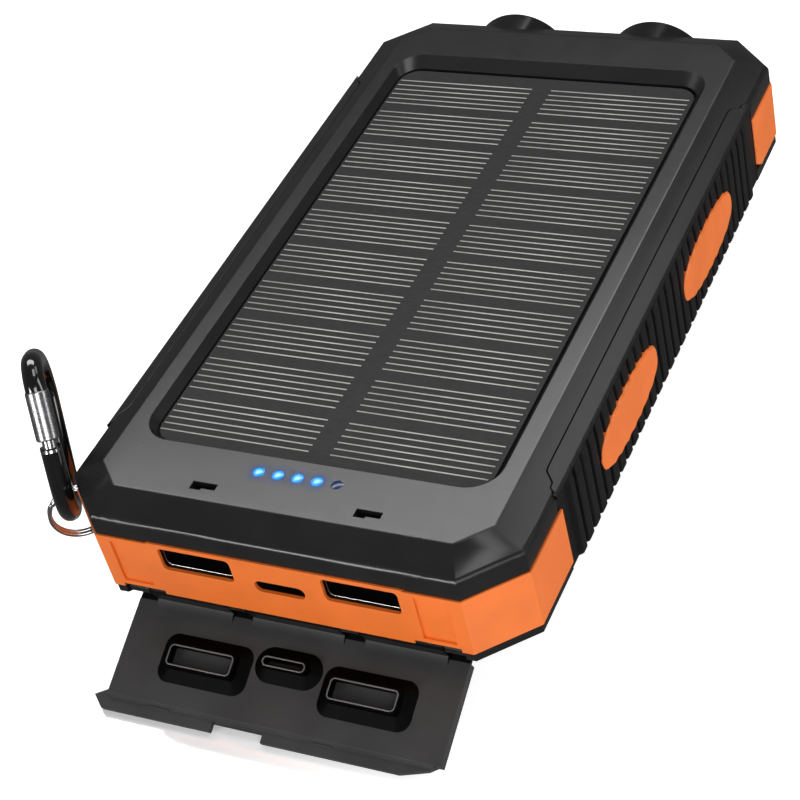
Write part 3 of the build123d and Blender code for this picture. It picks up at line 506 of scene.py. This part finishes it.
def build_solar():
    """Face of the panel with its printed collector lines: ten groups of six in each column."""
    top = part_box("solar_film")[1].z
    soften("solar_film", M["solar"], 0.05)
    work = bmesh.new()
    for group in range(GRID_GROUPS):
        for line in range(GRID_LINES):
            y = GRID_FIRST + (group * (GRID_LINES + 1) + line) * GRID_PITCH
            for x0, x1 in GRID_COLUMNS:
                slab(work, x0 * MM, x1 * MM, y - GRID_WIDTH / 2, y + GRID_WIDTH / 2,
                     top - GRID_SUNK, top + GRID_PROUD)
    mesh = bpy.data.meshes.new("solar_lines")
    work.to_mesh(mesh)
    work.free()
    new_piece("solar_lines", mesh, "case", "solar_cell", M["solar_line"])
    paint("solar_cells", M["solar"])
    paint("solar_board", M["chip"])
    paint("panel_tape", M["foam"])


LED_COUNT = 5
LEDS_LIT = 4
LED_PITCH = 3.42 * MM
LENS_R = 0.99 * MM
LENS_RISE = 0.16 * MM
LENS_SUNK = 0.01 * MM
SPILL_R = 2.7 * MM
SPILL_LIFT = 0.03 * MM


def ring_points(x, y, radius, rings, sides):
    """Share of the radius, x and y of each point on the rings of a disc."""
    for r in range(1, rings + 1):
        part = r / rings
        for k in range(sides):
            turn = 2 * math.pi * k / sides
            yield part, x + radius * part * math.cos(turn), y + radius * part * math.sin(turn)


def disc_faces(rings, sides):
    """Faces of a disc: a fan round its first point, then quads from ring to ring."""
    faces = [(0, 1 + k, 1 + (k + 1) % sides) for k in range(sides)]
    for r in range(rings - 1):
        for k in range(sides):
            a = 1 + r * sides + k
            b = 1 + r * sides + (k + 1) % sides
            faces.append((a, a + sides, b + sides, b))
    return faces


def led_disc(name, points, faces, attribute, values, material):
    """A disc on the LED row whose material reads one value at each point."""
    mesh = mesh_from(name, points, faces)
    shade = mesh.attributes.new(attribute, "FLOAT", "POINT")
    for k, value in enumerate(values):
        shade.data[k].value = value
    new_piece(name, mesh, "case", "light_guide", material)


def build_leds():
    """Five lens caps in the top cover: four lit, the fifth dark with a faint painted glow."""
    lo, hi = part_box("light_guide")
    y = (lo.y + hi.y) / 2
    rings, sides = 6, 28
    for i in range(LED_COUNT):
        x = (i - (LED_COUNT - 1) // 2) * LED_PITCH
        points = [(x, y, CASE_TOP + LENS_RISE)]
        glow = [1.0]
        for part, ring_x, ring_y in ring_points(x, y, LENS_R, rings, sides):
            points.append((ring_x, ring_y, CASE_TOP + LENS_RISE * (1 - part * part) - LENS_SUNK))
            glow.append(1 - part)
        material = M["lit"] if i < LEDS_LIT else M["unlit_painted_glow"]
        led_disc(f"led_lens_{i + 1}", points, disc_faces(rings, sides), "glow", glow, material)
        if i < LEDS_LIT:
            build_halo(i, x, y)


def build_halo(i, x, y):
    """Flat disc just above the cover that carries the soft light round a lit lens."""
    rings, sides = 8, 32
    points = [(x, y, CASE_TOP + SPILL_LIFT)]
    spill = [0.85]
    for part, ring_x, ring_y in ring_points(x, y, SPILL_R, rings, sides):
        points.append((ring_x, ring_y, CASE_TOP + SPILL_LIFT))
        spill.append(0.75 * (1 - part) ** 2.2)
    led_disc(f"led_spill_{i + 1}", points, disc_faces(rings, sides), "spill", spill, M["halo"])


# ---------------------------------------------------------------- ports and flap
USB_Z = 14.0 * MM
CONTACTS = 4
CONTACT_PITCH = 2.4 * MM
CONTACT_HALF = 0.45 * MM
MOUTH_SET_BACK = 0.8 * MM
MOUTH_RIM = (6.27, 2.17, 0.9)   # half width, half height and corner radius, mm
MOUTH_WIRE = 0.09 * MM


def build_ports():
    for side in ("left", "right"):
        soften("usb_a_shell_" + side, M["shell"], 0.06)
        soften("usb_a_tongue_" + side, M["port_black"], 0.08)
        lo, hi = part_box("usb_a_tongue_" + side)
        middle = (lo.x + hi.x) / 2
        work = bmesh.new()
        for k in range(CONTACTS):
            x = middle + (k - (CONTACTS - 1) / 2) * CONTACT_PITCH
            slab(work, x - CONTACT_HALF, x + CONTACT_HALF, lo.y + 0.5 * MM, lo.y + 7.5 * MM,
                 hi.z - 0.03 * MM, hi.z + 0.1 * MM)
            slab(work, x - CONTACT_HALF, x + CONTACT_HALF, lo.y - 0.04 * MM, lo.y + 0.3 * MM,
                 hi.z - 0.5 * MM, hi.z - 0.1 * MM)
        mesh = bpy.data.meshes.new("usb_contacts_" + side)
        work.to_mesh(mesh)
        work.free()
        new_piece("usb_contacts_" + side, mesh, "case", "contact_shell", M["gold"])
        path = [Vector((middle + u, FRONT + MOUTH_SET_BACK, USB_Z + v)) for u, v in rounded_loop(*MOUTH_RIM)]
        mesh = mesh_from("mouth_rim_" + side, *tube(path, MOUTH_WIRE, 8))
        new_piece("mouth_rim_" + side, mesh, "case", "contact_shell", M["shell"])
    soften("usb_c_shell", M["shell"], 0.06)
    soften("usb_c_tongue", M["port_black"], 0.06)


HINGE = Vector(JOINTS["flap_hinge"]["pos_m"])
HINGE.x = 0.0
FLAP_TURN = math.radians(112.7)  # how far the flap hangs open
FLAP_UP = Vector((0, math.cos(FLAP_TURN), math.sin(FLAP_TURN)))
FLAP_ALONG = Vector((0, -math.sin(FLAP_TURN), math.cos(FLAP_TURN)))
FLAP_IN = -2.87 * MM            # the flap's inner face, from the hinge axis
# Faces of the flap nearer the hinge than this are painted black as shade.
HINGE_SHADE_END = 1.25 * MM
PLUG_FLOOR = 0.25 * MM
PLUG_RIM = 2.27 * MM
# Loop of the painted highlight along each plug's rim: inset, corner radius and tube radius.
RIM_INSET = 0.42                # mm
RIM_CORNER = 0.7                # mm
RIM_HIGHLIGHT_WIRE = 0.13 * MM
# Name, x, distance from the hinge, width and height of each plug, mm
PLUGS = (("left", -14.0, 10.0, 12.3, 4.1), ("right", 14.8, 10.0, 12.3, 4.1), ("middle", 0.4, 7.9, 8.2, 2.3))
HINGE_GAPS = ((-29.4, -25.9), (-11.8, -8.2), (8.2, 11.8), (25.9, 29.4))
# Black sheets of painted shade in the gaps between the hinge arms: their depths and span.
SHADE_SHEET_DEPTHS = (-0.75 * MM, -0.02 * MM)
SHADE_SHEET_SPAN = (0.1 * MM, 1.6 * MM)


def build_flap():
    """Flap with its hinge arms painted black as shade, grey floors in its plugs, and a grey tube along each plug's
    rim as a painted highlight.
    """
    flap = soften("port_flap", M["flap"], 0.16, extra=[M["port_black"]])
    # The hinge arms take the black port material: painted shade.
    for face in flap.data.polygons:
        if (face.center - HINGE).dot(FLAP_ALONG) < HINGE_SHADE_END:
            face.material_index = 1
    for plug in ("flap_plug_left", "flap_plug_right", "flap_plug_middle"):
        piece = copy_of(plug, M["silicone"], M["flap"])
        for face in piece.data.polygons:
            height = (face.center - HINGE).dot(FLAP_UP)
            level = face.normal.dot(FLAP_UP) > 0.985
            if level and abs(height - (FLAP_IN + PLUG_FLOOR)) < 0.06 * MM:
                face.material_index = 1
    # A grey tube along each plug's inner rim edge: a painted highlight.
    for name, x, along, width, height in PLUGS:
        middle = HINGE + FLAP_ALONG * along * MM + FLAP_UP * (FLAP_IN + PLUG_RIM)
        loop = rounded_loop(width / 2 - RIM_INSET, height / 2 - RIM_INSET, RIM_CORNER)
        path = [Vector((x * MM, 0, 0)) + middle + Vector((u, 0, 0)) + FLAP_ALONG * v for u, v in loop]
        mesh = mesh_from("rim_" + name, *tube(path, RIM_HIGHLIGHT_WIRE, 8))
        new_piece("rim_" + name, mesh, "flap", "silicone", M["rim"])
    build_shade_sheets()
    paint("flap_pin", M["dark_steel"])


def build_shade_sheets():
    """Thin black sheets of painted shade that close the gaps between the flap's hinge arms."""
    shade_sheets = bmesh.new()
    for x0, x1 in HINGE_GAPS:
        corners = []
        for depth in SHADE_SHEET_DEPTHS:
            for x in (x0 * MM, x1 * MM):
                for along in SHADE_SHEET_SPAN:
                    spot = HINGE + FLAP_UP * FLAP_IN + FLAP_UP * depth + FLAP_ALONG * along
                    corners.append(shade_sheets.verts.new((x, spot.y, spot.z)))
        for face in ((0, 1, 3, 2), (4, 6, 7, 5), (0, 4, 5, 1), (2, 3, 7, 6), (0, 2, 6, 4), (1, 5, 7, 3)):
            shade_sheets.faces.new([corners[i] for i in face])
    bmesh.ops.recalc_face_normals(shade_sheets, faces=shade_sheets.faces)
    mesh = bpy.data.meshes.new("flap_shade_sheets")
    shade_sheets.to_mesh(mesh)
    shade_sheets.free()
    new_piece("flap_shade_sheets", mesh, "flap", "flap", M["port_black"])
    mesh.set_sharp_from_angle(angle=math.radians(30))


# ---------------------------------------------------------------- torch, lanyard and inside
def build_torch():
    for side in ("left", "right"):
        soften("torch_bezel_" + side, M["bezel"], 0.2, 3)
        paint("torch_reflector_" + side, M["mirror"])
        paint("torch_seal_" + side, M["silicone"])
        paint("torch_lens_" + side, M["lens"])
    paint("torch_board", M["board"])
    paint("torch_emitters", M["led"])


RING_R = 4.85 * MM
RING_WIRE = 0.37 * MM
RING_TURNS = 1.97
RING_STEPS = 220
RING_START = math.radians(150)
COIL_PITCH = 0.74 * MM          # between the two turns of the ring
CROSS_START, CROSS_END = 0.44, 0.56


def build_lanyard():
    """Split ring as a flat coil of two turns that cross over once, and the small clip on it."""
    lo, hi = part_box("split_ring")
    centre = (lo + hi) / 2
    axis = Vector(JOINTS["ring_swing"]["axis"]).normalized()
    up = Vector((0, 0, 1))
    across = up.cross(axis).normalized()
    path = []
    for i in range(RING_STEPS + 1):
        part = i / RING_STEPS
        offset = (smooth_step(CROSS_START, CROSS_END, part) - 0.5) * COIL_PITCH
        angle = RING_START + 2 * math.pi * RING_TURNS * part
        path.append(centre + (across * math.cos(angle) + up * math.sin(angle)) * RING_R + axis * offset)
    mesh = mesh_from("coiled_ring", *tube(path, RING_WIRE, 18))
    ring = new_piece("coiled_ring", mesh, "ring", "steel", M["steel"])
    mesh.set_sharp_from_angle(angle=math.radians(60))
    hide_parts("split_ring")
    paint("lanyard_pin", M["steel"])
    soften("carabiner_body", M["lacquer"], 0.18)
    build_gate()
    paint("gate_pin", M["steel"])
    paint("gate_spring", M["steel"])


GATE_HEADING = math.radians(118.0)
GATE_RISE = math.radians(59.2)
GATE_SIDES = 40
# Distance along the gate from its pin, and radius there, mm
SLEEVE = ((1.9, 1.80), (1.75, 1.92), (-5.9, 1.9), (-6.15, 1.72))
STEM = ((-6.1, 1.15), (-7.7, 1.15), (-7.75, 1.5), (-8.2, 1.5))


def build_gate():
    """Satin sleeve on the hinge pin with a polished stem that meets the hook's nose."""
    hinge = Vector(JOINTS["gate_open"]["pos_m"])
    flat = math.cos(GATE_RISE)
    up = Vector((math.cos(GATE_HEADING) * flat, math.sin(GATE_HEADING) * flat, math.sin(GATE_RISE)))
    side = up.orthogonal().normalized()
    across = up.cross(side)
    for name, profile, material in (("gate_sleeve", SLEEVE, M["gate"]), ("gate_stem", STEM, M["steel"])):
        points = []
        for along, radius in profile:
            for k in range(GATE_SIDES):
                turn = 2 * math.pi * k / GATE_SIDES
                spot = side * math.cos(turn) + across * math.sin(turn)
                points.append(hinge + up * along * MM + spot * radius * MM)
        near = tuple(range(GATE_SIDES))
        far = tuple(reversed(range((len(profile) - 1) * GATE_SIDES, len(profile) * GATE_SIDES)))
        faces = [near, far]
        for i in range(len(profile) - 1):
            for k in range(GATE_SIDES):
                a = i * GATE_SIDES + k
                b = i * GATE_SIDES + (k + 1) % GATE_SIDES
                faces.append((a, a + GATE_SIDES, b + GATE_SIDES, b))
        mesh = mesh_from(name, points, faces)
        piece = new_piece(name, mesh, "gate", "clip_gate", material)
        mesh.set_sharp_from_angle(angle=math.radians(30))
        if name == "gate_sleeve":
            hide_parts("carabiner_gate")


def build_inside():
    """Parts behind the covers keep their own shapes; the power button gets rolled edges."""
    plain = {
        "main_board": "board", "led_board": "board", "switch_board": "board", "control_chips": "chip",
        "capacitors": "chip", "power_inductor": "chip", "charge_leds": "led", "light_guide": "lens",
        "battery_lower": "pouch", "battery_upper": "pouch", "battery_pad": "foam", "battery_leads": "lead",
        "switch_can": "shell", "switch_plunger": "port_black", "case_screws": "dark_steel",
    }
    for node, material in plain.items():
        paint(node, M[material])
    soften("power_button", M["rubber"], 0.3, 3)


# ---------------------------------------------------------------- stage
FLOOR_SIZE = 6.0
# The floor glows less round this spot in front of the flap: a patch of painted shade under the flap.
FLOOR_SHADE_SPOT = (-0.04, -0.12, 0)  # in front of the flap, where the floor glows least
FLOOR_SHADE_FROM, FLOOR_SHADE_TO = 0.035, 0.09
FLOOR_GLOW_LOW, FLOOR_GLOW_HIGH = 0.2, 0.85


def build_stage():
    """Pale floor that glows, less so in front of the flap, where the dimmer patch is painted shade, and that
    glossy parts don't mirror.
    """
    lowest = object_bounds()[0].z
    bpy.ops.mesh.primitive_plane_add(size=FLOOR_SIZE, location=(0, 0, lowest - 0.3 * MM))
    floor = bpy.context.active_object
    floor.name = "floor"
    shader = Shader("floor_white", Coat_Weight=1.0, Coat_Roughness=0.05, Coat_IOR=2.0)
    shader.into(shader.ramp(shader.noise(300.0), (0.93, 0.93, 0.93), (0.96, 0.96, 0.96)), "Base Color")
    shader.into(shader.spread(shader.noise(40.0), 0.5, 0.6), "Roughness")
    shader.principled.inputs["Emission Color"].default_value = (1, 1, 1, 1)
    distance = shader.nodes.new("ShaderNodeVectorMath")
    distance.operation = "DISTANCE"
    distance.inputs[1].default_value = FLOOR_SHADE_SPOT
    shader.links.new(shader.where, distance.inputs[0])
    fade = shader.nodes.new("ShaderNodeMapRange")
    fade.interpolation_type = "SMOOTHSTEP"
    fade.inputs["From Min"].default_value = FLOOR_SHADE_FROM
    fade.inputs["From Max"].default_value = FLOOR_SHADE_TO
    fade.inputs["To Min"].default_value = FLOOR_GLOW_LOW
    fade.inputs["To Max"].default_value = FLOOR_GLOW_HIGH
    shader.links.new(distance.outputs["Value"], fade.inputs["Value"])
    shader.into(fade.outputs["Result"], "Emission Strength")
    floor.data.materials.append(shader.material)
    floor.visible_glossy = False


def area(name, place, aim, size, power):
    """A white rectangular lamp, unseen by the camera."""
    data = bpy.data.lights.new(name, "AREA")
    data.shape = "RECTANGLE"
    data.size, data.size_y = size
    data.energy = power
    lamp = bpy.data.objects.new(name, data)
    bpy.context.collection.objects.link(lamp)
    lamp.location = place
    lamp.visible_camera = False
    lamp.rotation_mode = "QUATERNION"
    lamp.rotation_quaternion = (Vector(aim) - Vector(place)).to_track_quat("-Z", "Y")


def build_lights():
    world = bpy.data.worlds.new("studio")
    bpy.context.scene.world = world
    world.use_nodes = True
    background = world.node_tree.nodes["Background"]
    background.inputs["Color"].default_value = (1, 1, 1, 1)
    background.inputs["Strength"].default_value = 0.10
    top = (0, -0.04, 0.02)
    area("back_soft", (-0.36, 0.51, 0.80), top, (0.9, 0.31), 4.8)
    area("back_right", (0.42, 0.60, 0.76), top, (0.4, 0.3), 0.7)
    area("overhead", (0.24, 0.16, 0.98), top, (0.40, 0.36), 1.5)
    area("front_key", (0.55, -0.75, 0.55), (0, -0.05, 0.01), (0.5, 0.5), 3.7)
    area("edge_light", (-0.46, -0.95, 0.36), (0, -0.06, 0.015), (0.34, 0.30), 4.0)
    area("right_rim", (0.9, 0.25, 0.35), (0.03, 0, 0.01), (0.25, 0.8), 2.4)


CAMERA_PLACE = (0.14654, -0.24364, 0.23470)
CAMERA_TURN = (48.473, 11.555, 23.690)  # degrees about X, Y and Z
CAMERA_LENS = 93.03                     # mm


def build_camera():
    data = bpy.data.cameras.new("camera")
    data.sensor_width = 36.0
    data.lens = CAMERA_LENS
    data.clip_start = 0.01
    camera = bpy.data.objects.new("camera", data)
    bpy.context.collection.objects.link(camera)
    camera.location = CAMERA_PLACE
    camera.rotation_euler = [math.radians(turn) for turn in CAMERA_TURN]
    bpy.context.scene.camera = camera


build_case()
build_grip(1)
build_grip(-1)
build_solar()
build_leds()
build_ports()
build_flap()
build_torch()
build_lanyard()
build_inside()
build_stage()
build_lights()
build_camera()
bpy.context.scene.view_settings.view_transform = "Standard"

bpy.context.view_layer.update()
